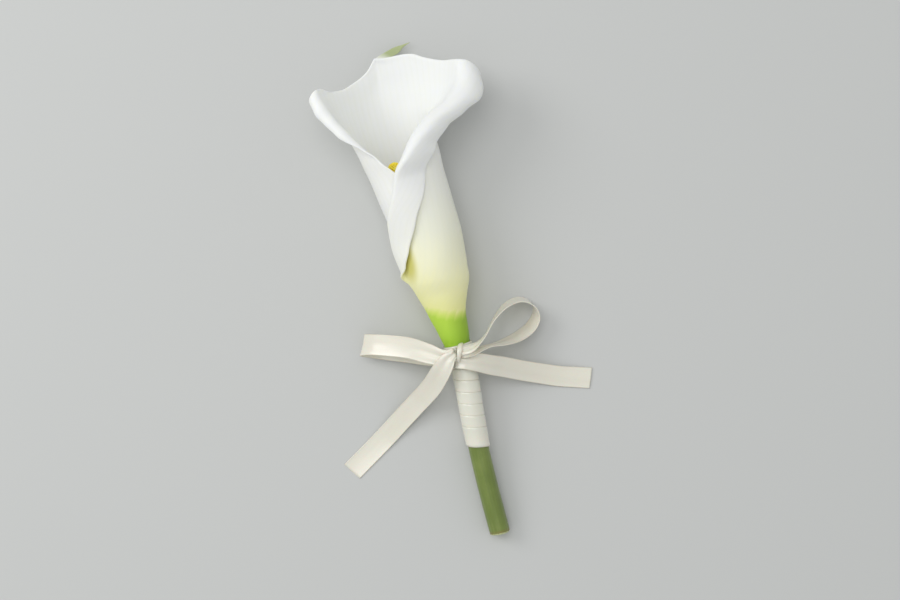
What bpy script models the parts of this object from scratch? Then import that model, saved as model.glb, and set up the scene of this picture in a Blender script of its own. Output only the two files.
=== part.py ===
"""Calla lily boutonniere lying on its back: one rolled spathe round a spadix, on a cut stem
that is wrapped with satin ribbon and tied with a small bow.

Row frame, in metres: +Y runs from the cut end of the stem to the tip of the flower, +Z is up
from the surface that it lies on, and +X is to the right seen from above. The lengths below are
in millimetres from the middle of the cut end, on the surface: right, along, up.
"""
import math

import bpy
import numpy as np
from mathutils import Euler, Matrix, Vector

# ---- driving dimensions, in millimetres and degrees ----
MM = 0.001
COLLECTION = "boutonniere"
MIDDLE = (-1.95, 71.72)      # right and along of the middle of the whole, which is the origin

# The stem, from its cut end to the flower: right, along, up, radius. The peg is its narrow end,
# inside the flower.
STEM = [
    (0.0, 0.0, 2.95, 2.9), (-0.6, 12.0, 4.1, 2.9), (-0.95, 24.0, 5.2, 2.87), (-0.8, 34.0, 6.2, 2.85),
    (-0.4, 44.0, 7.2, 2.8), (-0.3, 51.4, 7.8, 2.7),
]
STEM_PEG = [(-0.7, 52.5, 7.3, 1.2), (-0.95, 56.0, 7.4, 1.2), (-1.4, 61.2, 7.75, 1.2)]
STEM_STEPS = 3               # pieces between two points of the stem
TUBE_RESOLUTION = 5          # 14 sides round

# The ribbon wound round the stem, and the band of the bow over its top: along from, along to,
# middle radius at each end.
RIBBON_THICK = 0.4
WRAP = dict(start=26.0, end=52.0, radius_start=3.37, radius_end=3.6, sections=7)
BAND = dict(start=49.4, end=55.4, radius_start=4.35, radius_end=4.3, sections=4)
BAND_AXIS_END = (-0.85, 8.4)  # right and up of the band's middle at its upper end

# The spadix stands on the end of the stem, inside the flower.
SPADIX_FOOT = (-1.5, 61.9, 8.0)
SPADIX_TIP = (-8.1, 111.2, 13.4)
SPADIX_RADIUS = dict(end=1.2, foot=1.6, waist=2.35, shoulder=2.1)
SPADIX_WAIST = 0.55          # where the waist is, as a part of the length
SPADIX_CHAMFER = 0.4
SPADIX_ROUND = (0, 20, 40, 60, 80)  # angles of the round end's sections
SPADIX_SIDES = 16
MERGE = 0.00001              # metres: points of the spadix closer than this are joined

# The spathe is one leaf. It is a row of cross-sections, each starting at the midrib underneath
# and rolling up both sides. Each line gives a measure against the distance along the midrib.
LEAF_THICK = 0.8
LEAF_BASE = 53.0
LEAF_RIM = 140.5
LEAF = dict(
    midrib_right=[(53, -0.7), (57, -1.0), (61, -1.4), (65, -1.9), (72, -2.0), (78, -2.7), (86, -2.8),
                  (96, -4.2), (105, -5.3), (112, -6.2), (120, -7.1), (130, -7.5), (140.5, -7.1)],
    midrib_up=[(53, 5.2), (58, 4.95), (62, 4.6), (66, 4.05), (70, 3.0), (74, 1.9), (79, 1.0), (88, 0.5),
               (105, 0.7), (120, 1.6), (132, 3.0), (140.5, 5.0)],
    left_radius=[(53, 2.1), (55.5, 2.25), (58, 2.6), (61, 3.1), (65, 3.9), (70, 5.5), (75, 7.2), (80, 8.1),
                 (88, 8.5), (96, 9.1), (105, 9.6), (112, 10.4), (118, 11.2), (130, 15.3), (140.5, 20.8)],
    left_turn=[(53, 200), (77, 195), (90, 180), (100, 168), (107, 160), (112, 142), (118, 120),
               (130, 86), (140.5, 61)],
    left_ease=[(100, 1.0), (118, 0.85), (130, 0.65), (140.5, 0.6)],
    lip_length=[(53, 1.0), (110, 1.0), (116, 1.5), (124, 3.2), (140.5, 3.7)],
    lip_turn=[(53, -20), (70, -8), (110, -5), (116, 50), (124, 150), (140.5, 165)],
    right_radius=[(53, 3.15), (55.5, 3.3), (58, 3.8), (61, 4.3), (65, 5.1), (70, 6.7), (75, 8.5),
                  (80, 9.3), (88, 9.8), (96, 10.3), (105, 10.8), (112, 11.6), (117.5, 11.9),
                  (123, 13.2), (127, 17.0), (133, 23), (140.5, 27.5)],
    right_turn=[(53, 216), (60, 226), (68, 234), (76, 238), (84, 243), (91.4, 228), (99.6, 201),
                (107.3, 184), (112, 168), (117.5, 149), (123, 121), (127, 94), (133, 70), (140.5, 54)],
    fold_length=[(53, 1.2), (75, 1.2), (79, 1.9), (85, 2.6), (91, 3.1), (105, 3.5), (112, 4.6),
                 (118, 5.5), (127, 6.8), (133, 7.6), (140.5, 7.2)],
    fold_turn=[(53, -22), (65, -14), (75, -9), (79.5, 175), (90, 185), (105, 190), (115, 180),
               (125, 160), (133, 140), (140.5, 122)],
    flap_length=[(53, 1.0), (75, 0.8), (77, 0.8), (80, 3.0), (84, 6.0), (91, 8), (98, 8.4), (107, 8),
                 (113, 7.6), (120, 5.5), (128, 2.2), (140.5, 1.2)],
    flap_turn=[(53, -22), (65, -14), (75, -9), (80, 16), (84, 32), (91, 40), (105, 35), (140.5, 30)],
)
# How far the rim falls short of the midrib's tip, against the distance across the leaf.
RIM_FALL_LEFT = [(0, 0), (3, 3.5), (7, 5.8), (12, 7.5), (17, 7.5), (21, 5.3), (24, 7.5), (30, 10)]
RIM_FALL_RIGHT = [(0, 0), (3, 0.5), (8, 0.7), (11, 1.2), (15, 3.3), (21, 5.6), (25, 6.3), (29, 7.4),
                  (32, 9.5), (36, 13), (42, 15)]
FALL_FROM = 100.0            # the cross-sections are square to the flower as far as this
FALL_POWER = 1.2
LEAF_ROWS = 46
LEFT_COLUMNS = (10, 3)       # columns over the wall and the rolled lip
RIGHT_COLUMNS = (14, 6, 4)   # columns over the wall, the fold and the flap beyond it
STEPS = 60                   # steps that each stretch of a cross-section is added up in

# The green tip of the leaf runs on from the rim beside the midrib: its two edges.
TAIL_EDGES = [
    ((-5.3, 142.1, 3.3), (-3.7, 140.9, 3.4)),
    ((-1.6, 143.3, 1.9), (-0.9, 142.0, 2.0)),
    ((3.7, 143.7, 1.3), (3.9, 143.2, 1.3)),
]

# The bow. Each ribbon's stations: right, along, up, width, lean of its width from upright
# (90 lies flat), and which way its upper edge leans, in degrees from +X.
BOW = dict(
    bow_loop_left=[
        (-2.4, 53.0, 13.5, 3.8, 90, 90), (-5.2, 52.8, 13.4, 4.5, 90, 80), (-9.4, 54.9, 12.4, 5.6, 90, 66),
        (-14.3, 57.5, 10.9, 6, 90, 70), (-19.8, 59.3, 8.9, 6, 90, 72), (-24.8, 60.6, 6.5, 6, 90, 70),
        (-27.5, 60.9, 3.9, 6.3, 90, 66), (-25.4, 59.8, 1.3, 6, 90, 68), (-21.0, 58.1, 0.6, 6, 90, 75),
        (-15.0, 56.1, 1.9, 6, 90, 72), (-10.2, 54.2, 6.0, 5.4, 90, 70), (-6.9, 53.2, 10.6, 4.6, 90, 80),
        (-2.4, 52.8, 12.95, 3.4, 90, 90)],
    bow_loop_right=[
        (0.6, 53.9, 14.9, 2.8, 76, -74), (2.4, 54.0, 14.5, 3.2, 52, -66), (4.8, 54.8, 13.4, 4.2, 16, -62),
        (7.4, 56.6, 11.6, 5.2, 4, -62), (10.8, 60.4, 9.0, 6, 5, -62), (14.9, 63.5, 6.4, 6, 13, -62),
        (19.3, 64.4, 4.4, 6, 17, -62), (22.6, 62.5, 3.6, 6, 22, -62), (23.2, 59.1, 3.3, 6, 27, -62),
        (20.8, 56.0, 3.6, 6, 30, -62), (16.6, 54.1, 5.0, 6, 28, -62), (12.2, 53.4, 7.4, 5.8, 18, -62),
        (8.2, 53.3, 10.2, 5.0, 8, -62), (4.6, 53.0, 12.6, 4.0, 26, -64), (2.2, 52.9, 13.8, 3.2, 60, -70),
        (0.6, 52.9, 14.1, 2.8, 76, -74)],
    bow_tail_left=[
        (-2.8, 52.9, 14.3, 2.8, 90, 108), (-4.4, 51.8, 14.4, 4.6, 90, 122), (-6.9, 49.2, 13.5, 5.7, 90, 130),
        (-10.2, 45.6, 9.4, 6, 90, 128), (-13.2, 43.2, 6.3, 6, 90, 126), (-16.0, 41.2, 3.9, 6, 90, 126),
        (-21.0, 37.6, 1.7, 6, 90, 126), (-26.1, 33.9, 0.6, 6, 90, 126), (-32.0, 29.9, 0.25, 6, 90, 126),
        (-38.2, 25.8, 0.2, 6, 90, 126)],
    bow_tail_right=[
        (0.5, 50.6, 13.2, 4.4, 88, 70), (3.6, 49.7, 12.4, 5.3, 82, 66), (7.4, 48.0, 10.0, 5.8, 77, 67),
        (10.8, 46.6, 7.4, 6, 76, 67), (16.0, 44.3, 4.3, 6, 76, 67), (21.0, 42.3, 2.2, 6, 78, 67),
        (26.0, 40.4, 0.9, 6, 82, 67), (30.6, 39.1, 0.45, 6, 87, 68), (34.9, 37.9, 0.2, 6, 90, 71)],
)
BOW_STEPS = 3                # pieces between two stations
KNOT_MIDDLE = (-0.95, 52.7, 14.0)
KNOT_SIZE = (1.8, 5.0, 2.2)
KNOT_YAW = -14.0
KNOT_ROUND = 0.9
KNOT_SEGMENTS = 3

# Colours as linear RGB, roughness.
IVORY = ((0.80, 0.76, 0.66), 0.45)
FINISH = dict(
    spathe=((0.86, 0.88, 0.84), 0.55), spadix=((0.88, 0.55, 0.02), 0.7), stem=((0.21, 0.27, 0.09), 0.45),
    stem_wrap=IVORY, bow_band=IVORY, bow_knot=IVORY, bow_loop_left=IVORY, bow_loop_right=IVORY,
    bow_tail_left=IVORY, bow_tail_right=IVORY,
)


def place(point):
    """A point given from the cut end in millimetres, in the row frame in metres."""
    return Vector(((point[0] - MIDDLE[0]) * MM, (point[1] - MIDDLE[1]) * MM, point[2] * MM))


def slope(points, k):
    """The slope of a measure at its point k, flat at a crest so that nothing overshoots."""
    def rise(i):
        return (points[i + 1][1] - points[i][1]) / (points[i + 1][0] - points[i][0])
    if k == 0:
        return rise(0)
    if k == len(points) - 1:
        return rise(k - 1)
    before, after = rise(k - 1), rise(k)
    return 2 * before * after / (before + after) if before * after > 0 else 0.0


def measure(points, at):
    """A measure's value at a distance, read smoothly between its points."""
    if at <= points[0][0]:
        return points[0][1]
    if at >= points[-1][0]:
        return points[-1][1]
    k = max(i for i in range(len(points) - 1) if points[i][0] <= at)
    wide = points[k + 1][0] - points[k][0]
    u = (at - points[k][0]) / wide
    ease = u * u * (3 - 2 * u)
    leave = (u ** 3 - 2 * u * u + u) * wide * slope(points, k)
    arrive = (u ** 3 - u * u) * wide * slope(points, k + 1)
    return points[k][1] * (1 - ease) + points[k + 1][1] * ease + leave + arrive


def cross_section(stretches):
    """One side of the leaf, out from the midrib: stretches of (length, turn, ease, columns).

    Gives how far out, how far up and how far across the leaf each column stands.
    """
    heading, step, columns, start = [], [], [0.0], 0.0
    for k, (length, turn, ease, count) in enumerate(stretches):
        share = (np.arange(STEPS) + 0.5) / STEPS
        heading.append(np.radians(start + turn * share ** ease))
        step.append(np.full(STEPS, length / STEPS))
        columns += [STEPS * (k + (i + 1) / count) for i in range(count)]
        start += turn
    heading, step = np.concatenate(heading), np.concatenate(step)
    return [
        np.interp(columns, np.arange(len(step) + 1), np.concatenate([[0.0], np.cumsum(each)]))
        for each in (np.cos(heading) * step, np.sin(heading) * step, step)
    ]


def leaf_row(along):
    """The leaf's middle surface at one distance along the midrib, from left margin to right."""
    at = {name: measure(points, along) for name, points in LEAF.items()}
    left = [
        (at["left_radius"] * math.radians(at["left_turn"]), at["left_turn"], at["left_ease"]),
        (at["lip_length"], -at["lip_turn"], 1.0),
    ]
    right = [
        (at["right_radius"] * math.radians(at["right_turn"]), at["right_turn"], 1.0),
        (at["fold_length"], -at["fold_turn"], 1.0),
        (at["flap_length"], -at["flap_turn"], 1.0),
    ]
    share = max(0.0, (along - FALL_FROM) / (LEAF_RIM - FALL_FROM)) ** FALL_POWER
    row = []
    for side, stretches, columns, fall in (
        (-1, left, LEFT_COLUMNS, RIM_FALL_LEFT),
        (1, right, RIGHT_COLUMNS, RIM_FALL_RIGHT),
    ):
        whole = [(*stretch, count) for stretch, count in zip(stretches, columns)]
        out, up, across = cross_section(whole)
        points = [
            (at["midrib_right"] + side * out[i], along - share * measure(fall, across[i]),
             at["midrib_up"] + up[i])
            for i in range(len(out))
        ]
        row += points[:0:-1] if side < 0 else points
    return row


def smooth_path(stations, steps):
    """Catmull-Rom through the stations; every value of a station is carried along."""
    p = [np.array(s, float) for s in stations]
    p = [2 * p[0] - p[1]] + p + [2 * p[-1] - p[-2]]
    path = []
    for k in range(1, len(p) - 2):
        for i in range(steps):
            u = i / steps
            path.append(0.5 * (2 * p[k] + (p[k + 1] - p[k - 1]) * u
                               + (2 * p[k - 1] - 5 * p[k] + 4 * p[k + 1] - p[k + 2]) * u * u
                               + (3 * p[k] - p[k - 1] - 3 * p[k + 1] + p[k + 2]) * u ** 3))
    return path + [p[-2]]


def finish(obj, name, collection):
    """Names an object, gives it its own material and puts it in the part's collection."""
    obj.name = obj.data.name = name
    colour, roughness = FINISH[name]
    material = bpy.data.materials.new(name)
    material.use_nodes = True
    shader = material.node_tree.nodes["Principled BSDF"]
    shader.inputs["Base Color"].default_value = (*colour, 1.0)
    shader.inputs["Roughness"].default_value = roughness
    shader.inputs["Metallic"].default_value = 0.0
    obj.data.materials.clear()
    obj.data.materials.append(material)
    for other in obj.users_collection:
        other.objects.unlink(obj)
    collection.objects.link(obj)
    return obj


def from_faces(points, faces):
    mesh = bpy.data.meshes.new("surface")
    mesh.from_pydata([place(p) for p in points], [], faces)
    mesh.shade_smooth()
    obj = bpy.data.objects.new("surface", mesh)
    bpy.context.scene.collection.objects.link(obj)
    return obj


def thicken(obj, thickness):
    wall = obj.modifiers.new("thickness", "SOLIDIFY")
    wall.thickness = thickness * MM
    wall.offset = 0.0
    return obj


def grid_faces(rows, columns):
    return [
        (j * columns + i, j * columns + i + 1, (j + 1) * columns + i + 1, (j + 1) * columns + i)
        for j in range(rows - 1) for i in range(columns - 1)
    ]


def tube(stations, capped):
    """A round tube through stations of right, along, up, radius."""
    curve = bpy.data.curves.new("tube", "CURVE")
    curve.dimensions = "3D"
    curve.bevel_depth = MM
    curve.bevel_resolution = TUBE_RESOLUTION
    curve.use_fill_caps = capped
    spline = curve.splines.new("POLY")
    spline.points.add(len(stations) - 1)
    for point, station in zip(spline.points, stations):
        point.co = (*place(station), 1.0)
        point.radius = station[3]
    spline.use_smooth = True
    obj = bpy.data.objects.new("tube", curve)
    bpy.context.scene.collection.objects.link(obj)
    return obj


def stem_axis(along):
    """Right and up of the stem's axis at a distance along."""
    right = measure([(s[1], s[0]) for s in STEM], along)
    up = measure([(s[1], s[2]) for s in STEM], along)
    return right, up


def make_stem(collection):
    wide = [tuple(point) for point in smooth_path(STEM, STEM_STEPS)]
    return finish(tube(wide + STEM_PEG, True), "stem", collection)


def sleeve(ring, axis_at):
    """A thin round sleeve with evenly spaced sections; axis_at gives its middle's right and up."""
    stations = []
    for i in range(ring["sections"]):
        share = i / (ring["sections"] - 1)
        along = ring["start"] + (ring["end"] - ring["start"]) * share
        radius = ring["radius_start"] + (ring["radius_end"] - ring["radius_start"]) * share
        right, up = axis_at(along, share)
        stations.append((right, along, up, radius))
    return thicken(tube(stations, False), RIBBON_THICK)


def make_wrap(collection):
    wrap = sleeve(WRAP, lambda along, share: stem_axis(along))
    return finish(wrap, "stem_wrap", collection)


def make_band(collection):
    first = stem_axis(BAND["start"])

    def axis_at(along, share):
        return [a + (b - a) * share for a, b in zip(first, BAND_AXIS_END)]

    return finish(sleeve(BAND, axis_at), "bow_band", collection)


def make_spathe(collection):
    rows = [leaf_row(float(along)) for along in np.linspace(LEAF_BASE, LEAF_RIM, LEAF_ROWS)]
    columns = len(rows[0])
    points = [p for row in rows for p in row]
    faces = grid_faces(LEAF_ROWS, columns)
    midrib = (LEAF_ROWS - 1) * columns + sum(LEFT_COLUMNS)
    edge = (midrib, midrib + 1)
    for left, right in TAIL_EDGES:
        following = (len(points), len(points) + 1)
        points += [left, right]
        faces.append((edge[0], edge[1], following[1], following[0]))
        edge = following
    return finish(thicken(from_faces(points, faces), LEAF_THICK), "spathe", collection)


def make_spadix(collection):
    """A turned finger with a round end, leaning up from the end of the stem."""
    foot, tip = Vector(SPADIX_FOOT), Vector(SPADIX_TIP)
    length = (tip - foot).length
    shoulder = SPADIX_RADIUS["shoulder"]
    profile = []
    for angle in SPADIX_ROUND:
        rise = shoulder * (math.cos(math.radians(angle)) - 1.0)
        profile.append((shoulder * math.sin(math.radians(angle)), length + rise))
    profile += [
        (SPADIX_RADIUS["waist"], length * SPADIX_WAIST),
        (SPADIX_RADIUS["foot"], SPADIX_CHAMFER),
        (SPADIX_RADIUS["end"], 0.0),
        (0.0, 0.0),
    ]
    edges = [(i, i + 1) for i in range(len(profile) - 1)]
    mesh = bpy.data.meshes.new("profile")
    mesh.from_pydata([(radius * MM, 0.0, height * MM) for radius, height in profile], edges, [])
    obj = bpy.data.objects.new("profile", mesh)
    bpy.context.scene.collection.objects.link(obj)
    obj.rotation_euler = (tip - foot).to_track_quat("Z", "Y").to_euler()
    obj.location = place(foot)
    turn = obj.modifiers.new("turn", "SCREW")
    turn.axis = "Z"
    turn.steps = turn.render_steps = SPADIX_SIDES
    turn.use_merge_vertices = True
    turn.merge_threshold = MERGE
    turn.use_smooth_shade = True
    return finish(obj, "spadix", collection)


def make_ribbon(name, stations, collection):
    """A strip of ribbon through its stations, its width turned by each one's lean."""
    points = []
    path = smooth_path(stations, BOW_STEPS)
    for right, along, up, width, lean, heading in path:
        toward = Vector((math.cos(math.radians(heading)), math.sin(math.radians(heading)), 0.0))
        lean = math.radians(lean)
        half = (toward * math.sin(lean) + Vector((0, 0, 1)) * math.cos(lean)) * (width / 2)
        middle = Vector((right, along, up))
        points += [middle - half, middle + half]
    strip = from_faces(points, grid_faces(len(path), 2))
    return finish(thicken(strip, RIBBON_THICK), name, collection)


def make_knot(collection):
    bpy.ops.mesh.primitive_cube_add(size=1.0)
    obj = bpy.context.object
    obj.data.transform(Matrix.Diagonal((*[side * MM for side in KNOT_SIZE], 1.0)))
    obj.rotation_euler = Euler((0.0, 0.0, math.radians(KNOT_YAW)))
    obj.location = place(KNOT_MIDDLE)
    rounding = obj.modifiers.new("rounding", "BEVEL")
    rounding.width = KNOT_ROUND * MM
    rounding.segments = KNOT_SEGMENTS
    return finish(obj, "bow_knot", collection)


def main():
    for obj in list(bpy.data.objects):
        bpy.data.objects.remove(obj, do_unlink=True)
    collection = bpy.data.collections.new(COLLECTION)
    bpy.context.scene.collection.children.link(collection)
    make_stem(collection)
    make_wrap(collection)
    make_spathe(collection)
    make_spadix(collection)
    make_band(collection)
    make_knot(collection)
    for name, stations in BOW.items():
        make_ribbon(name, stations, collection)


main()
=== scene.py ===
# A calla lily boutonniere lying on its back: spathe, spadix, cut stem, ribbon wrap and bow.
# Lengths are in millimetres from the middle of the cut end: right, along, up.
import math
from functools import partial

import bmesh
import bpy
import numpy as np
from mathutils import Matrix, Vector


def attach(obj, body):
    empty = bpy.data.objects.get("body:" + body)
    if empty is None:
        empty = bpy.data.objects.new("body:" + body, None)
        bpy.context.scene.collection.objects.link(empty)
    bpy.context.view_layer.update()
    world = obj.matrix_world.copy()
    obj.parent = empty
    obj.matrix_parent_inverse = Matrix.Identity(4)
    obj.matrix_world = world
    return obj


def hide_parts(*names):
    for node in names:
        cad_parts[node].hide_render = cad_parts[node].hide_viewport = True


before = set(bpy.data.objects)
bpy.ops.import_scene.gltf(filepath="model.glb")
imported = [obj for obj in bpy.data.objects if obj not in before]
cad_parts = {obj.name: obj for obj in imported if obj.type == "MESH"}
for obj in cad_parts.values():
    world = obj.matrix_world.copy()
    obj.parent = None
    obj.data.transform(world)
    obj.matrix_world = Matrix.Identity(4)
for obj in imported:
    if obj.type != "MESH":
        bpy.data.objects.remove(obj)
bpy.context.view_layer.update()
print("frame loaded")

mm = 0.001
middle = (-1.95, 71.72)    # right and along of the middle of the whole, which is the origin
seed = 7


def place(point):
    return ((point[0] - middle[0]) * mm, (point[1] - middle[1]) * mm, point[2] * mm)


def hexColour(text):
    parts = [int(text[i:i + 2], 16) / 255 for i in (1, 3, 5)]
    return (*[c / 12.92 if c <= 0.04045 else ((c + 0.055) / 1.055) ** 2.4 for c in parts], 1.0)


# adds one node, sets it up and links it; a node given as an input stands for its first output,
# and stops are a ramp's colours
def addNode(tree, kind, inputs=None, stops=None, **settings):
    node = tree.nodes.new(kind)
    for name, value in settings.items():
        setattr(node, name, value)
    for key, value in (inputs or {}).items():
        if isinstance(value, bpy.types.Node):
            value = value.outputs[0]
        if isinstance(value, bpy.types.NodeSocket):
            tree.links.new(value, node.inputs[key])
        else:
            node.inputs[key].default_value = value
    if stops:
        ramp = node.color_ramp.elements
        ramp.remove(ramp[1])
        ramp[0].position, ramp[0].color = stops[0][0], hexColour(stops[0][1])
        for at, colour in stops[1:]:
            ramp.new(at).color = hexColour(colour)
    return node


def fromRange(pair):
    return {"From Min": pair[0], "From Max": pair[1]}


def toRange(pair):
    return {"To Min": pair[0], "To Max": pair[1]}


# a noise or cell texture's scale, from the size of its grains in mm
def grainScale(size):
    return 1 / (size * mm)


# a wave texture's scale, from the distance between its bands, in the units it is given
def waveScale(spacing):
    return 2 * math.pi / 20 / spacing


def startMaterial(name, sockets):
    material = bpy.data.materials.new(name)
    material.use_nodes = True
    shader = material.node_tree.nodes["Principled BSDF"]
    for key, value in sockets.items():
        shader.inputs[key].default_value = value
    return material, partial(addNode, material.node_tree), shader


# links what a material has worked out to its shader
def wire(shader, sources):
    for key, value in sources.items():
        socket = value.outputs[0] if isinstance(value, bpy.types.Node) else value
        shader.id_data.links.new(socket, shader.inputs[key])


def makePiece(name, mesh, material=None):
    piece = bpy.data.objects.new(name, mesh)
    bpy.context.scene.collection.objects.link(piece)
    if material:
        mesh.materials.clear()
        mesh.materials.append(material)
    mesh.shade_smooth()
    return piece


# faces of a tube of rows of points, each row a closed ring
def tubeFaces(rows, count):
    return [(j * count + i, j * count + (i + 1) % count, (j + 1) * count + (i + 1) % count,
             (j + 1) * count + i) for j in range(rows - 1) for i in range(count)]


def tubeEnds(rows, count):
    return [tuple(range(count))[::-1], tuple((rows - 1) * count + i for i in range(count))]


# the object doesn't bend or come apart, so every piece rides on its one body
def standFor(piece, *nodes):
    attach(piece, "root")
    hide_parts(*nodes)
    return piece


# ---- camera and light ----
view = {
    "over": (-0.2, 68.4),      # what it looks straight down at
    "height": 500.0,
    "lens": 69.2,
    "sensor": 36.0,
    "nearest": 10.0,
    "turn": -12.0,             # the flower's tip leans to the left
}
# sizes and places in metres, powers in watts
light = {
    "keySize": 0.42, "keyPower": 1.68, "keyAt": (-0.52, 0.36, 0.50),
    "fillSize": 0.7, "fillPower": 2.5, "fillAt": (-0.1, 0.22, 0.95),
    "sky": "#f2f4f5", "skyStrength": 0.64,
    "floor": "#c9cac8", "floorSize": 3.0,
}


def makeCamera():
    camera = bpy.data.cameras.new("camera")
    camera.lens = view["lens"]
    camera.sensor_width = view["sensor"]
    camera.clip_start = view["nearest"] * mm
    viewer = bpy.data.objects.new("camera", camera)
    viewer.location = place((*view["over"], view["height"]))
    viewer.rotation_euler = (0.0, 0.0, math.radians(view["turn"]))
    bpy.context.scene.collection.objects.link(viewer)
    bpy.context.scene.camera = viewer
    bpy.context.scene.view_settings.view_transform = "Standard"


def makeLamp(name, size, power, at):
    lamp = bpy.data.lights.new(name, "AREA")
    lamp.shape = "DISK"
    lamp.size = size
    lamp.energy = power
    holder = bpy.data.objects.new(name, lamp)
    holder.location = at
    holder.rotation_euler = Vector(at).to_track_quat("Z", "Y").to_euler()
    bpy.context.scene.collection.objects.link(holder)


def makeStudio():
    makeLamp("keyLight", light["keySize"], light["keyPower"], light["keyAt"])
    makeLamp("fillLight", light["fillSize"], light["fillPower"], light["fillAt"])
    world = bpy.data.worlds.new("softRoom")
    world.use_nodes = True
    world.node_tree.nodes["Background"].inputs["Color"].default_value = hexColour(light["sky"])
    world.node_tree.nodes["Background"].inputs["Strength"].default_value = light["skyStrength"]
    bpy.context.scene.world = world
    half = light["floorSize"] / 2
    mesh = bpy.data.meshes.new("floor")
    mesh.from_pydata([(-half, -half, 0), (half, -half, 0), (half, half, 0), (-half, half, 0)], [],
                     [(0, 1, 2, 3)])
    material, _, _ = startMaterial("paleFloor", {
        "Roughness": 0.9, "Base Color": hexColour(light["floor"])})
    makePiece("floor", mesh, material)


makeCamera()
makeStudio()
print("camera, lights and floor made")


# ---- the ribbon, and its satin: woven polyester that shines across its threads ----
ribbon = {
    "wide": 6.0, "thick": 0.2, "selvedge": 0.28, "selvedgeWide": 0.3, "crown": 0.16,
    "steps": 12, "columns": 30, "pleats": 2, "pleatShare": 0.3, "pleatFrom": 0.9,
    "dip": 0.45,               # how far an end tucked into the knot sinks
    "uvUnit": 100.0,           # mm in one unit of its UV map: across, then along
    "nextFace": 1.2,           # widths from one face to the other on that map
}
satin = {
    "light": "#eae6d7", "dark": "#e5e0d0", "selvedge": "#c9bfa6",
    "cloud": (3.33, 50.0), "cloudRange": (0.3, 0.62),    # mm across and along
    "edgeTint": 0.42, "edgeAt": (2.72, 2.92),    # mm from the middle
    "thread": 0.68,            # mm between drawn threads; real ones are 0.05, too fine to show
    "weft": 0.35,              # its share of the relief, beside the warp
    "relief": 0.015, "reliefDepth": 0.1,
    "roughness": (0.22, 0.28),
}


def makeSatin():
    material, add, shader = startMaterial("ivorySatinRibbon", {
        "Sheen Weight": 0.25, "Sheen Roughness": 0.4, "Anisotropic": 0.6,
        "Subsurface Weight": 0.08, "Subsurface Scale": 0.0006, "Specular IOR Level": 1.0,
    })
    uvUnit = ribbon["uvUnit"]
    threadScale = waveScale(satin["thread"] / uvUnit)
    uv = add("ShaderNodeUVMap", uv_map="ribbon")
    streaks = add("ShaderNodeMapping", {
        "Vector": uv, "Scale": (*[uvUnit / size for size in satin["cloud"]], 1.0)})
    cloud = add("ShaderNodeTexNoise", {"Vector": streaks, "Scale": 1.0, "Detail": 5.0})
    threads = add("ShaderNodeTexWave", {
        "Vector": uv, "Scale": threadScale, "Distortion": 0.6, "Detail": 2.0,
        "Detail Scale": 4.0}, bands_direction="X")
    colour = add("ShaderNodeValToRGB", {"Fac": cloud.outputs["Fac"]},
                 list(zip(satin["cloudRange"], (satin["dark"], satin["light"]))))
    gloss = add("ShaderNodeMapRange", {
        "Value": cloud.outputs["Fac"], **toRange(satin["roughness"])})
    weft = add("ShaderNodeTexWave", {
        "Vector": uv, "Scale": threadScale, "Distortion": 1.5}, bands_direction="Y")
    cloth = add("ShaderNodeMath", {0: weft.outputs["Fac"], 1: satin["weft"],
                                   2: threads.outputs["Fac"]}, operation="MULTIPLY_ADD")
    relief = add("ShaderNodeBump", {
        "Height": cloth, "Strength": satin["relief"], "Distance": satin["reliefDepth"] * mm})
    tangent = add("ShaderNodeTangent", direction_type="UV_MAP", uv_map="ribbon")
    # the woven edge is a fine darker line, on both faces
    reach = ribbon["wide"] * ribbon["nextFace"] / 2 / uvUnit
    aside = add("ShaderNodeSeparateXYZ", {0: uv}).outputs["X"]
    folded = add("ShaderNodeMath", {0: aside, 1: reach, 2: -reach}, operation="WRAP")
    outward = add("ShaderNodeMath", {0: folded}, operation="ABSOLUTE")
    woven = add("ShaderNodeMapRange", {
        "Value": outward, "From Min": satin["edgeAt"][0] / uvUnit,
        "From Max": satin["edgeAt"][1] / uvUnit, "To Max": satin["edgeTint"]})
    edged = add("ShaderNodeMix", {
        0: woven, 6: colour, 7: hexColour(satin["selvedge"])}, data_type="RGBA")
    wire(shader, {"Base Color": edged.outputs[2], "Roughness": gloss, "Normal": relief,
                  "Tangent": tangent})
    return material


satinRibbon = makeSatin()

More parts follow.
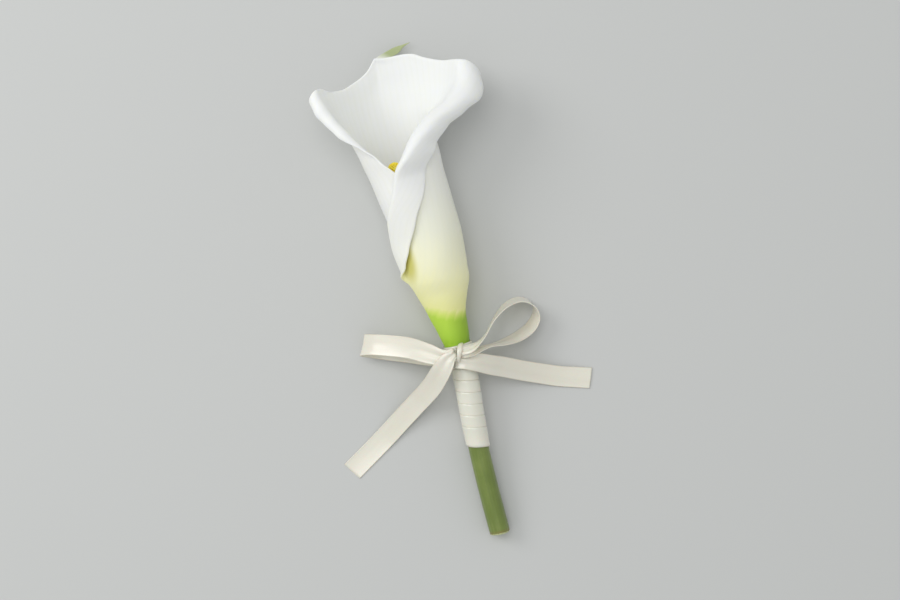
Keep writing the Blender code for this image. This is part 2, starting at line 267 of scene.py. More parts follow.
# ---- the bow: two loops and two tails of one ribbon ----
# each: what its far end is, how far its ends at the knot run on inside it, and its stations:
# right, along, up, width, lean of the width from upright (90 lies flat), and which way the
# width's upper edge leans, in degrees from +X
bow = {
    "bow_loop_left": ("object", 1.3, [
        (-2.4, 53.0, 13.5, 3.8, 90, 90), (-5.2, 52.8, 13.4, 4.5, 90, 80),
        (-9.4, 54.9, 12.4, 5.6, 90, 66), (-14.3, 57.5, 10.9, 6, 90, 70),
        (-19.8, 59.3, 8.9, 6, 90, 72), (-24.8, 60.6, 6.5, 6, 90, 70),
        (-27.5, 60.9, 3.9, 6.3, 90, 66), (-25.4, 59.8, 1.3, 6, 90, 68),
        (-21.0, 58.1, 0.6, 6, 90, 75), (-15.0, 56.1, 1.9, 6, 90, 72),
        (-10.2, 54.2, 6.0, 5.4, 90, 70), (-6.9, 53.2, 10.6, 4.6, 90, 80),
        (-2.4, 52.8, 12.95, 3.4, 90, 90)]),
    "bow_loop_right": ("object", 1.3, [
        (0.6, 53.9, 14.9, 2.8, 76, -74), (2.4, 54.0, 14.5, 3.2, 52, -66),
        (4.8, 54.8, 13.4, 4.2, 16, -62), (7.4, 56.6, 11.6, 5.2, 4, -62),
        (10.8, 60.4, 9.0, 6, 5, -62), (14.9, 63.5, 6.4, 6, 13, -62),
        (19.3, 64.4, 4.4, 6, 17, -62), (22.6, 62.5, 3.6, 6, 22, -62),
        (23.2, 59.1, 3.3, 6, 27, -62), (20.8, 56.0, 3.6, 6, 30, -62),
        (16.6, 54.1, 5.0, 6, 28, -62), (12.2, 53.4, 7.4, 5.8, 18, -62),
        (8.2, 53.3, 10.2, 5.0, 8, -62), (4.6, 53.0, 12.6, 4.0, 26, -64),
        (2.2, 52.9, 13.8, 3.2, 60, -70), (0.6, 52.9, 14.1, 2.8, 76, -74)]),
    "bow_tail_left": ("bare", 1.3, [
        (-2.8, 52.9, 14.3, 2.8, 90, 108), (-4.4, 51.8, 14.4, 4.6, 90, 122),
        (-6.9, 49.2, 13.5, 5.7, 90, 130), (-10.2, 45.6, 9.4, 6, 90, 128),
        (-13.2, 43.2, 6.3, 6, 90, 126), (-16.0, 41.2, 3.9, 6, 90, 126),
        (-21.0, 37.6, 1.7, 6, 90, 126), (-26.1, 33.9, 0.6, 6, 90, 126),
        (-32.0, 29.9, 0.25, 6, 90, 126), (-38.2, 25.8, 0.2, 6, 90, 126)]),
    "bow_tail_right": ("bare", 2.8, [
        (0.5, 50.6, 13.2, 4.4, 88, 70), (3.6, 49.7, 12.4, 5.3, 82, 66),
        (7.4, 48.0, 10.0, 5.8, 77, 67), (10.8, 46.6, 7.4, 6, 76, 67),
        (16.0, 44.3, 4.3, 6, 76, 67), (21.0, 42.3, 2.2, 6, 78, 67), (26.0, 40.4, 0.9, 6, 82, 67),
        (30.6, 39.1, 0.45, 6, 87, 68), (34.9, 37.9, 0.2, 6, 90, 71)]),
}


# Catmull-Rom through the stations, with every value carried along
def smoothPath(stations, steps):
    p = [np.array(s, float) for s in stations]
    p = [2 * p[0] - p[1]] + p + [2 * p[-1] - p[-2]]
    path = []
    for k in range(1, len(p) - 2):
        for u in np.arange(steps) / steps:
            path.append(0.5 * (2 * p[k] + (p[k + 1] - p[k - 1]) * u
                               + (2 * p[k - 1] - 5 * p[k] + 4 * p[k + 1] - p[k + 2]) * u * u
                               + (3 * p[k] - p[k - 1] - 3 * p[k + 1] + p[k + 2]) * u ** 3))
    return np.array(path + [p[-2]])


def unit(vectors):
    return vectors / np.linalg.norm(vectors, axis=-1, keepdims=True)


# the UV map that the weave follows, from mm across each row of points and mm along the rows
def addWeave(mesh, across, along):
    pairs = np.stack(np.broadcast_arrays(across[None, :], along[:, None]), axis=-1).reshape(-1, 2)
    layer = mesh.uv_layers.new(name="ribbon")
    corner = np.empty(len(mesh.loops), int)
    mesh.loops.foreach_get("vertex_index", corner)
    layer.data.foreach_set("uv", (pairs / ribbon["uvUnit"])[corner].ravel())


# how far along its middle line each row of points is
def distances(middles):
    return np.concatenate([[0.0], np.cumsum(np.linalg.norm(np.diff(middles, axis=0), axis=1))])


# two more stations that carry an end on into the knot, and down a little
def tuckEnd(station, outward, reach):
    flat = unit(outward * np.array([1.0, 1.0, 0.0]))
    added = []
    for part in (1.0, 0.5):
        more = station.copy()
        more[:3] += flat * reach * part
        more[2] -= ribbon["dip"] * part ** 2
        added.append(more)
    return np.array(added)


# a woven strip along a path: gathered at the knot, crowned, with a thicker edge each side
def ribbonMesh(name, farEnd, tuck, stations):
    path = smoothPath(stations, ribbon["steps"])
    run = unit(np.gradient(path[:, :3], axis=0))
    shape = np.concatenate([tuckEnd(path[0], -run[0], tuck), path])
    if farEnd == "object":
        shape = np.concatenate([shape, tuckEnd(path[-1], run[-1], tuck)[::-1]])
    middles, widths = shape[:, :3], shape[:, 3]
    leans, toward = np.radians(shape[:, 4]), np.radians(shape[:, 5])
    side = np.stack([np.cos(toward) * np.sin(leans), np.sin(toward) * np.sin(leans),
                     np.cos(leans)], axis=1)
    run = unit(np.gradient(middles, axis=0))
    normal = unit(np.cross(run, side))
    travel = distances(middles)
    share = np.linspace(-0.5, 0.5, ribbon["columns"])
    gather = np.sqrt(np.clip(ribbon["wide"] / widths - 1.0, 0.0, None))
    swell = widths / (math.pi * ribbon["pleats"]) * gather * ribbon["pleatShare"]
    fold = np.sin(2 * math.pi * ribbon["pleats"] * share + ribbon["pleatFrom"])
    crown = ribbon["crown"] * (1 - (2 * share) ** 2)
    lift = swell[:, None] * fold[None, :] + crown[None, :]
    sheet = (middles[:, None, :] + side[:, None, :] * (widths[:, None, None] * share[None, :, None])
             + normal[:, None, :] * lift[:, :, None])
    fromEdge = (0.5 - np.abs(share)) * ribbon["wide"]
    bead = np.exp(-((fromEdge / ribbon["selvedgeWide"]) ** 2))
    half = (ribbon["thick"] + (ribbon["selvedge"] - ribbon["thick"]) * bead) / 2
    face = unit(np.cross(np.gradient(sheet, axis=0), np.gradient(sheet, axis=1)))
    top = sheet + face * half[None, :, None]
    under = sheet - face * half[None, :, None]
    rows, columns = sheet.shape[:2]
    ring = np.concatenate([top, under[:, ::-1]], axis=1)
    count = 2 * columns
    last = (rows - 1) * count
    faces = tubeFaces(rows, count)
    faces += [(i, count - 1 - i, count - 2 - i, i + 1) for i in range(columns - 1)]
    faces += [(last + i, last + i + 1, last + count - 2 - i, last + count - 1 - i)
              for i in range(columns - 1)]
    mesh = bpy.data.meshes.new(name)
    mesh.from_pydata([place(p) for p in ring.reshape(-1, 3)], [], faces)
    across = np.concatenate([share, share[::-1] + ribbon["nextFace"]]) * ribbon["wide"]
    addWeave(mesh, across, travel)
    mesh.update()
    return mesh, path[:, :3]


def makeBow():
    for name, (farEnd, tuck, stations) in bow.items():
        mesh, path = ribbonMesh(name + "_satin", farEnd, tuck, stations)
        piece = standFor(makePiece(name + "_satin", mesh, satinRibbon), name)


makeBow()


# ---- Geometry Nodes: starting a tree, and turning its result into a plain mesh ----
def startTree(name, inputs):
    tree = bpy.data.node_groups.new(name, "GeometryNodeTree")
    tree.interface.new_socket("Geometry", in_out="OUTPUT", socket_type="NodeSocketGeometry")
    tree.interface.new_socket("Geometry", in_out="INPUT", socket_type="NodeSocketGeometry")
    for label, kind in inputs.items():
        tree.interface.new_socket(label, in_out="INPUT", socket_type="NodeSocket" + kind)
    add = partial(addNode, tree)
    return tree, add, add("NodeGroupInput").outputs


# the end of every tree: real geometry with its material
def endTree(tree, geometry, material):
    add = partial(addNode, tree)
    real = add("GeometryNodeRealizeInstances", {"Geometry": geometry})
    finished = add("GeometryNodeSetMaterial", {"Geometry": real, "Material": material})
    add("NodeGroupOutput", {"Geometry": finished})


# the path that a tree works along: a line of vertices, with a radius at each
def pathObject(name, stations):
    mesh = bpy.data.meshes.new(name)
    steps = [(i, i + 1) for i in range(len(stations) - 1)]
    mesh.from_pydata([place(s) for s in stations], steps, [])
    if len(stations[0]) > 3:
        reach = mesh.attributes.new("reach", "FLOAT", "POINT")
        reach.data.foreach_set("value", [s[3] * mm for s in stations])
    return bpy.data.objects.new(name, mesh)


# runs a tree on its base with these values, and keeps the result as a plain mesh
def growPiece(name, tree, base, values):
    modifier = base.modifiers.new("grown", "NODES")
    modifier.node_group = tree
    for item in tree.interface.items_tree:
        if item.in_out == "INPUT" and item.name in values:
            modifier[item.identifier] = values[item.name]
    bpy.context.scene.collection.objects.link(base)
    bpy.context.view_layer.update()
    grown = base.evaluated_get(bpy.context.evaluated_depsgraph_get())
    mesh = bpy.data.meshes.new_from_object(grown)
    bpy.data.objects.remove(base)
    return makePiece(name, mesh)


# ---- the stem: a fresh green stalk, ribbed finely along its length, cut across ----
stem = {
    "path": [
        (0.0, 0.0, 2.95, 2.9), (-0.6, 12.0, 4.1, 2.9), (-0.95, 24.0, 5.2, 2.87),
        (-0.8, 34.0, 6.2, 2.85), (-0.4, 44.0, 7.2, 2.8), (-0.3, 51.4, 7.8, 2.7)],
    "peg": [(-0.7, 52.5, 7.3, 1.2), (-0.95, 56.0, 7.4, 1.2), (-1.4, 61.2, 7.75, 1.2)],
    "cutEdge": [(0.0, 0.0, 2.95, 2.62), (0.0, 0.12, 2.96, 2.8), (-0.02, 0.4, 2.98, 2.89)],
    "steps": 12, "sides": 72, "ribs": 18, "ribDepth": 0.035,
    "dark": "#64752b", "mid": "#6d7f32", "pale": "#78883d", "cut": "#c9cf9c", "browned": "#8a6a3a",
    "fibre": (0.77, 25.0, 0.77), "blotch": 7.7, "cells": 0.385, "patches": 1.43,    # mm
    "fibreDepth": 0.12, "roughness": (0.3, 0.5),
    "faceDepth": (0.05, 0.35), "rimDepth": (0.2, 1.3),    # how far from the cut each shows
}


# fresh stalk: a thin waxy skin over long fibres, so it shines softly down its length
def makeStemMaterial():
    material, add, shader = startMaterial("freshCutStalk", {
        "Coat Weight": 0.5, "Coat Roughness": 0.24, "Subsurface Weight": 0.12,
        "Subsurface Radius": (0.6, 1.0, 0.3), "Subsurface Scale": 0.001})
    where = add("ShaderNodeTexCoord").outputs["Object"]
    stretch = add("ShaderNodeMapping", {
        "Vector": where, "Scale": [grainScale(size) for size in stem["fibre"]]})
    fibres = add("ShaderNodeTexNoise", {"Vector": stretch, "Scale": 1.0, "Detail": 4.0})
    blotch = add("ShaderNodeTexNoise", {"Vector": where, "Scale": grainScale(stem["blotch"]),
                                        "Detail": 3.0})
    tone = add("ShaderNodeMath", {0: fibres.outputs["Fac"], 1: 0.6, 2: blotch.outputs["Fac"]},
               operation="MULTIPLY_ADD")
    skin = add("ShaderNodeValToRGB", {"Fac": tone},
               [(0.45, stem["dark"]), (0.78, stem["mid"]), (1.0, stem["pale"])])
    # the cut face is pale and wet, and its rim has dried brown
    along = add("ShaderNodeSeparateXYZ", {0: where}).outputs["Y"]
    cutAt = -middle[1] * mm
    face = add("ShaderNodeMapRange", {
        "Value": along, "From Min": cutAt + stem["faceDepth"][1] * mm,
        "From Max": cutAt + stem["faceDepth"][0] * mm})
    rim = add("ShaderNodeMapRange", {
        "Value": along, "From Min": cutAt + stem["rimDepth"][1] * mm,
        "From Max": cutAt + stem["rimDepth"][0] * mm})
    patchy = add("ShaderNodeTexNoise", {"Vector": where, "Scale": grainScale(stem["patches"]),
                                        "Detail": 2.0})
    dried = add("ShaderNodeMath", {0: rim, 1: patchy.outputs["Fac"]}, operation="MULTIPLY")
    cells = add("ShaderNodeTexVoronoi", {"Vector": where, "Scale": grainScale(stem["cells"])})
    pith = add("ShaderNodeValToRGB", {"Fac": cells.outputs["Distance"]},
               [(0.1, stem["pale"]), (0.6, stem["cut"])])
    edged = add("ShaderNodeMix", {0: dried, 6: skin, 7: hexColour(stem["browned"])},
                data_type="RGBA")
    whole = add("ShaderNodeMix", {0: face, 6: edged.outputs[2], 7: pith}, data_type="RGBA")
    gloss = add("ShaderNodeMapRange", {"Value": fibres.outputs["Fac"],
                                       **toRange(stem["roughness"])})
    relief = add("ShaderNodeBump", {"Height": fibres.outputs["Fac"], "Strength": 0.25,
                                    "Distance": stem["fibreDepth"] * mm})
    wire(shader, {"Base Color": whole.outputs[2], "Roughness": gloss, "Normal": relief})
    return material


def stalkTree():
    tree, add, given = startTree("ribbedStalk", {
        "Sides": "Int", "Ribs": "Int", "Rib Depth": "Float", "Material": "Material"})
    line = add("GeometryNodeMeshToCurve", {"Mesh": given["Geometry"]})
    reach = add("GeometryNodeInputNamedAttribute", {"Name": "reach"}, data_type="FLOAT")
    ring = add("GeometryNodeCurvePrimitiveCircle", {"Resolution": given["Sides"], "Radius": 1.0})
    # each point of the ring moves in and out by the ribs
    order = add("GeometryNodeInputIndex")
    part = add("ShaderNodeMath", {0: order, 1: given["Sides"]}, operation="DIVIDE")
    turns = add("ShaderNodeMath", {0: part, 1: given["Ribs"]}, operation="MULTIPLY")
    angle = add("ShaderNodeMath", {0: turns, 1: 2 * math.pi}, operation="MULTIPLY")
    wave = add("ShaderNodeMath", {0: angle}, operation="COSINE")
    size = add("ShaderNodeMath", {0: wave, 1: given["Rib Depth"], 2: 1.0}, operation="MULTIPLY_ADD")
    at = add("GeometryNodeInputPosition")
    moved = add("ShaderNodeVectorMath", {0: at, "Scale": size}, operation="SCALE")
    ribbed = add("GeometryNodeSetPosition", {"Geometry": ring, "Position": moved})
    skin = add("GeometryNodeCurveToMesh", {
        "Curve": line, "Profile Curve": ribbed, "Scale": reach,
        "Fill Caps": True})
    endTree(tree, skin, given["Material"])
    return tree


def makeStem():
    body = [tuple(p) for p in smoothPath(stem["path"], stem["steps"])][1:]
    base = pathObject("stalkPath", stem["cutEdge"] + body + stem["peg"])
    piece = growPiece("stem_stalk", stalkTree(), base, {
        "Sides": stem["sides"], "Ribs": stem["ribs"],
        "Rib Depth": stem["ribDepth"] / stem["path"][0][3], "Material": makeStemMaterial()})
    standFor(piece, "stem")
    print("stem has", len(piece.data.polygons), "faces")


makeStem()

# ---- ribbon wound round the stem, and round it again where the bow is tied ----
winding = {
    "wrap": {"start": 27.4, "pitch": 3.4, "turns": 7.4, "radius": 3.22, "grow": 0.3, "lift": 0.17,
             "fromAngle": -100.0},
    "band": {"start": 52.4, "pitch": 0.35, "turns": 2.0, "radius": 4.0, "grow": 0.0, "lift": 0.1,
             "fromAngle": -80.0},
    "thick": 0.2, "perTurn": 64, "columns": 10,
    "bandAxis": [(-0.3, 48.0, 7.55), (-0.85, 57.0, 8.55)],
}


# a strip laid in a helix on its path: each turn's upper edge lies on the next turn
def windingTree():
    tree, add, given = startTree("woundRibbon", {
        "Turns": "Float", "Steps": "Int", "Columns": "Int", "Pitch": "Float", "Width": "Float",
        "Radius": "Float", "Grow": "Float", "Lift": "Float", "Start": "Float",
        "From Angle": "Float", "Material": "Material"})
    axis = add("GeometryNodeMeshToCurve", {"Mesh": given["Geometry"]})
    sheet = add("GeometryNodeMeshGrid", {
        "Size X": 1.0, "Size Y": 1.0, "Vertices X": given["Steps"], "Vertices Y": given["Columns"]})
    at = add("ShaderNodeSeparateXYZ", {0: add("GeometryNodeInputPosition")})
    part = add("ShaderNodeMath", {0: at.outputs["X"], 1: 0.5}, operation="ADD")
    turn = add("ShaderNodeMath", {0: part, 1: given["Turns"]}, operation="MULTIPLY")
    angle = add("ShaderNodeMath", {0: turn, 1: 2 * math.pi, 2: given["From Angle"]},
                operation="MULTIPLY_ADD")
    climb = add("ShaderNodeMath", {0: turn, 1: given["Pitch"], 2: given["Start"]},
                operation="MULTIPLY_ADD")
    along = add("ShaderNodeMath", {0: at.outputs["Y"], 1: given["Width"], 2: climb},
                operation="MULTIPLY_ADD")
    spot = add("GeometryNodeSampleCurve", {"Curves": axis, "Length": along},
               mode="LENGTH", data_type="FLOAT")
    rise = add("ShaderNodeMath", {0: at.outputs["Y"], 1: 0.5}, operation="ADD")
    lift = add("ShaderNodeMath", {0: rise, 1: given["Lift"], 2: given["Radius"]},
               operation="MULTIPLY_ADD")
    reach = add("ShaderNodeMath", {0: part, 1: given["Grow"], 2: lift}, operation="MULTIPLY_ADD")
    tangent = spot.outputs["Tangent"]
    right = add("ShaderNodeVectorMath", {0: tangent, 1: (0.0, 0.0, 1.0)}, operation="CROSS_PRODUCT")
    level = add("ShaderNodeVectorMath", {0: right}, operation="NORMALIZE")
    upward = add("ShaderNodeVectorMath", {0: level, 1: tangent}, operation="CROSS_PRODUCT")
    cosine = add("ShaderNodeMath", {0: angle}, operation="COSINE")
    sine = add("ShaderNodeMath", {0: angle}, operation="SINE")
    aside = add("ShaderNodeVectorMath", {0: level, "Scale": cosine}, operation="SCALE")
    above = add("ShaderNodeVectorMath", {0: upward, "Scale": sine}, operation="SCALE")
    spoke = add("ShaderNodeVectorMath", {0: aside, 1: above}, operation="ADD")
    reached = add("ShaderNodeVectorMath", {0: spoke, "Scale": reach}, operation="SCALE")
    point = add("ShaderNodeVectorMath", {0: spot.outputs["Position"], 1: reached}, operation="ADD")
    # where each point is on the ribbon, for its weave: across, then along
    run = add("ShaderNodeMath", {0: angle, 1: given["Radius"]}, operation="MULTIPLY")
    across = add("ShaderNodeMath", {0: at.outputs["Y"], 1: given["Width"]}, operation="MULTIPLY")
    weave = add("ShaderNodeCombineXYZ", {0: across, 1: run})
    scaled = add("ShaderNodeVectorMath", {0: weave, "Scale": 1 / (ribbon["uvUnit"] * mm)},
                 operation="SCALE")
    kept = add("GeometryNodeStoreNamedAttribute", {
        "Geometry": sheet, "Name": "ribbon", "Value": scaled},
        data_type="FLOAT2", domain="CORNER")
    wound = add("GeometryNodeSetPosition", {"Geometry": kept, "Position": point})
    endTree(tree, wound, given["Material"])
    return tree


def makeWinding(name, node, values, axisPoints, tree):
    piece = growPiece(name, tree, pathObject(name + "Path", axisPoints), {
        "Turns": values["turns"], "Steps": int(values["turns"] * winding["perTurn"]),
        "Columns": winding["columns"], "Pitch": values["pitch"] * mm, "Width": ribbon["wide"] * mm,
        "Radius": values["radius"] * mm, "Grow": values["grow"] * mm, "Lift": values["lift"] * mm,
        "Start": (values["start"] - axisPoints[0][1]) * mm,
        "From Angle": math.radians(values["fromAngle"]), "Material": satinRibbon})
    wall = piece.modifiers.new("clothThickness", "SOLIDIFY")
    wall.thickness = winding["thick"] * mm
    wall.offset = 0.0
    standFor(piece, node)
    print(name, "has", len(piece.data.polygons), "faces")


def makeWindings():
    tree = windingTree()
    axis = [tuple(p[:3]) for p in smoothPath(stem["path"], stem["steps"])]
    makeWinding("stem_wrap_satin", "stem_wrap", winding["wrap"], axis, tree)
    makeWinding("bow_band_satin", "bow_band", winding["band"], winding["bandAxis"], tree)


makeWindings()

# ---- the knot: the ribbon gathered small and drawn tight over the bow ----
knot = {
    # right, along, up, half width, half height
    "stations": [
        (0.1, 55.7, 12.6, 0.8, 0.3), (-0.02, 55.3, 13.9, 0.95, 0.45),
        (-0.3, 54.5, 14.75, 0.95, 0.5), (-0.72, 53.1, 15.0, 0.8, 0.5),
        (-1.1, 51.9, 14.6, 0.6, 0.45), (-1.36, 51.1, 13.7, 0.5, 0.35),
        (-1.5, 50.7, 12.6, 0.4, 0.3)],
    "across": (0.97, 0.24, 0.0),    # the way its width runs
    "steps": 8, "sides": 72, "pleats": 11, "pleatDepth": 0.26, "pleatFrom": 0.4,
}


def makeKnot():
    path = smoothPath(knot["stations"], knot["steps"])
    middles = path[:, :3]
    side = unit(np.array(knot["across"]))
    normal = unit(np.cross(side, unit(np.gradient(middles, axis=0))))
    angle = np.arange(knot["sides"]) / knot["sides"] * 2 * math.pi
    crease = 1.0 - knot["pleatDepth"] * np.abs(
        np.sin(knot["pleats"] * angle / 2 + knot["pleatFrom"]))
    sideways = path[:, 3, None] * (np.cos(angle) * crease)
    outwards = path[:, 4, None] * (np.sin(angle) * crease)
    ring = (middles[:, None, :] + side * sideways[:, :, None]
            + normal[:, None, :] * outwards[:, :, None])
    rows, count = ring.shape[:2]
    mesh = bpy.data.meshes.new("bow_knot_satin")
    mesh.from_pydata([place(p) for p in ring.reshape(-1, 3)], [],
                     tubeFaces(rows, count) + tubeEnds(rows, count))
    across = angle / (2 * math.pi) * 2 * ribbon["wide"]    # both faces of the ribbon go round it
    addWeave(mesh, across, distances(middles))
    piece = standFor(makePiece("bow_knot_satin", mesh, satinRibbon), "bow_knot")
    print("knot has", len(piece.data.polygons), "faces")


makeKnot()

# ---- the spadix: a finger packed with tiny pollen-dusted florets ----
spadix = {
    "foot": (-1.5, 61.9, 8.0), "tip": (-8.05, 109.6, 13.2),
    "footRadius": 1.45, "waistRadius": 2.1, "tipRadius": 1.85, "waistAt": 0.5,
    "florets": 1500, "turn": 137.508, "floretSize": 0.36, "sizeRange": (0.8, 1.15),
    "rings": 40, "sides": 24, "core": 0.95,    # what the florets stand on, and its share of them
    "bright": "#ffea44", "deep": "#ffdc34", "pollen": "#fff388",
    "mottle": 1.11, "grain": 0.143, "grainDepth": 0.05,    # mm
}


# pollen on tiny florets: dry and matt, with no gleam
def makeSpadixMaterial():
    material, add, shader = startMaterial("pollenFlorets", {
        "Roughness": 0.75, "Subsurface Weight": 0.15, "Subsurface Scale": 0.0006,
        "Subsurface Radius": (1.0, 0.7, 0.2)})
    where = add("ShaderNodeTexCoord").outputs["Object"]
    mottle = add("ShaderNodeTexNoise", {"Vector": where, "Scale": grainScale(spadix["mottle"]),
                                        "Detail": 3.0})
    grain = add("ShaderNodeTexNoise", {"Vector": where, "Scale": grainScale(spadix["grain"]),
                                       "Detail": 2.0})
    colour = add("ShaderNodeValToRGB", {"Fac": mottle.outputs["Fac"]},
                 [(0.32, spadix["deep"]), (0.5, spadix["bright"]), (0.72, spadix["pollen"])])
    relief = add("ShaderNodeBump", {"Height": grain.outputs["Fac"], "Strength": 0.4,
                                    "Distance": spadix["grainDepth"] * mm})
    wire(shader, {"Base Color": colour, "Normal": relief})
    return material


# florets follow the golden angle up the finger; the finger is along +Z here
def spadixTree():
    tree, add, given = startTree("packedFlorets", {
        "Count": "Int", "Length": "Float", "Foot Radius": "Float", "Waist Radius": "Float",
        "Tip Radius": "Float", "Turn": "Float", "Floret Size": "Float", "Seed": "Int",
        "Material": "Material"})
    dots = add("GeometryNodeMeshLine", {"Count": given["Count"]})
    order = add("GeometryNodeInputIndex")
    part = add("ShaderNodeMath", {0: order, 1: given["Count"]}, operation="DIVIDE")
    angle = add("ShaderNodeMath", {0: order, 1: given["Turn"]}, operation="MULTIPLY")
    # radius: foot to waist over the lower half, waist to tip over the upper, round at the end
    lower = add("ShaderNodeMapRange", {
        "Value": part, "From Max": spadix["waistAt"], "To Min": given["Foot Radius"],
        "To Max": given["Waist Radius"]}, interpolation_type="SMOOTHSTEP")
    upper = add("ShaderNodeMapRange", {
        "Value": part, "From Min": spadix["waistAt"], "To Min": given["Waist Radius"],
        "To Max": given["Tip Radius"]}, interpolation_type="SMOOTHSTEP")
    past = add("ShaderNodeMath", {0: part, 1: spadix["waistAt"]}, operation="GREATER_THAN")
    side = add("ShaderNodeMix", {0: past, 2: lower, 3: upper})
    height = add("ShaderNodeMath", {0: part, 1: given["Length"]}, operation="MULTIPLY")
    left = add("ShaderNodeMath", {0: given["Length"], 1: height}, operation="SUBTRACT")
    share = add("ShaderNodeMath", {0: left, 1: given["Tip Radius"]}, operation="DIVIDE")
    inside = add("ShaderNodeMath", {0: 1.0, 1: share}, operation="SUBTRACT", use_clamp=True)
    square = add("ShaderNodeMath", {0: inside, 1: 2.0}, operation="POWER")
    rest = add("ShaderNodeMath", {0: 1.0, 1: square}, operation="SUBTRACT", use_clamp=True)
    dome = add("ShaderNodeMath", {0: rest}, operation="SQRT")
    reach = add("ShaderNodeMath", {0: side, 1: dome}, operation="MULTIPLY")
    cosine = add("ShaderNodeMath", {0: angle}, operation="COSINE")
    sine = add("ShaderNodeMath", {0: angle}, operation="SINE")
    x = add("ShaderNodeMath", {0: reach, 1: cosine}, operation="MULTIPLY")
    y = add("ShaderNodeMath", {0: reach, 1: sine}, operation="MULTIPLY")
    point = add("ShaderNodeCombineXYZ", {0: x, 1: y, 2: height})
    placed = add("GeometryNodeSetPosition", {"Geometry": dots, "Position": point})
    bead = add("GeometryNodeMeshIcoSphere", {"Radius": given["Floret Size"], "Subdivisions": 2})
    size = add("FunctionNodeRandomValue", {2: spadix["sizeRange"][0], 3: spadix["sizeRange"][1],
                                           "Seed": given["Seed"]}, data_type="FLOAT")
    florets = add("GeometryNodeInstanceOnPoints", {
        "Points": placed, "Instance": bead, "Scale": size.outputs[1]})
    both = add("GeometryNodeJoinGeometry")
    tree.links.new(given["Geometry"], both.inputs[0])
    tree.links.new(florets.outputs[0], both.inputs[0])
    endTree(tree, both, given["Material"])
    return tree


def makeSpadix():
    foot, tip = Vector(place(spadix["foot"])), Vector(place(spadix["tip"]))
    length = (tip - foot).length - spadix["floretSize"] * mm
    rings, sides = spadix["rings"], spadix["sides"]
    points = []
    for j in range(rings + 1):
        part = j / rings
        left = min(1.0, (1 - part) * length / (spadix["tipRadius"] * mm))
        reach = np.interp(part, (0, spadix["waistAt"], 1),
                          (spadix["footRadius"], spadix["waistRadius"], spadix["tipRadius"])) * mm
        reach *= math.sqrt(max(0.0, 1 - (1 - left) ** 2)) * spadix["core"]
        points += [(reach * math.cos(a), reach * math.sin(a), part * length)
                   for a in np.arange(sides) / sides * 2 * math.pi]
    core = bpy.data.meshes.new("spadixCore")
    core.from_pydata(points, [], tubeFaces(rings + 1, sides) + tubeEnds(rings + 1, sides))
    base = bpy.data.objects.new("spadixCore", core)
    piece = growPiece("spadix_florets", spadixTree(), base, {
        "Count": spadix["florets"], "Length": length, "Foot Radius": spadix["footRadius"] * mm,
        "Waist Radius": spadix["waistRadius"] * mm, "Tip Radius": spadix["tipRadius"] * mm,
        "Turn": math.radians(spadix["turn"]), "Floret Size": spadix["floretSize"] * mm,
        "Seed": seed, "Material": makeSpadixMaterial()})
    stand = (tip - foot).to_track_quat("Z", "Y").to_matrix().to_4x4()
    piece.data.transform(Matrix.Translation(foot) @ stand)
    standFor(piece, "spadix")
    print("spadix has", len(piece.data.polygons), "faces")


makeSpadix()

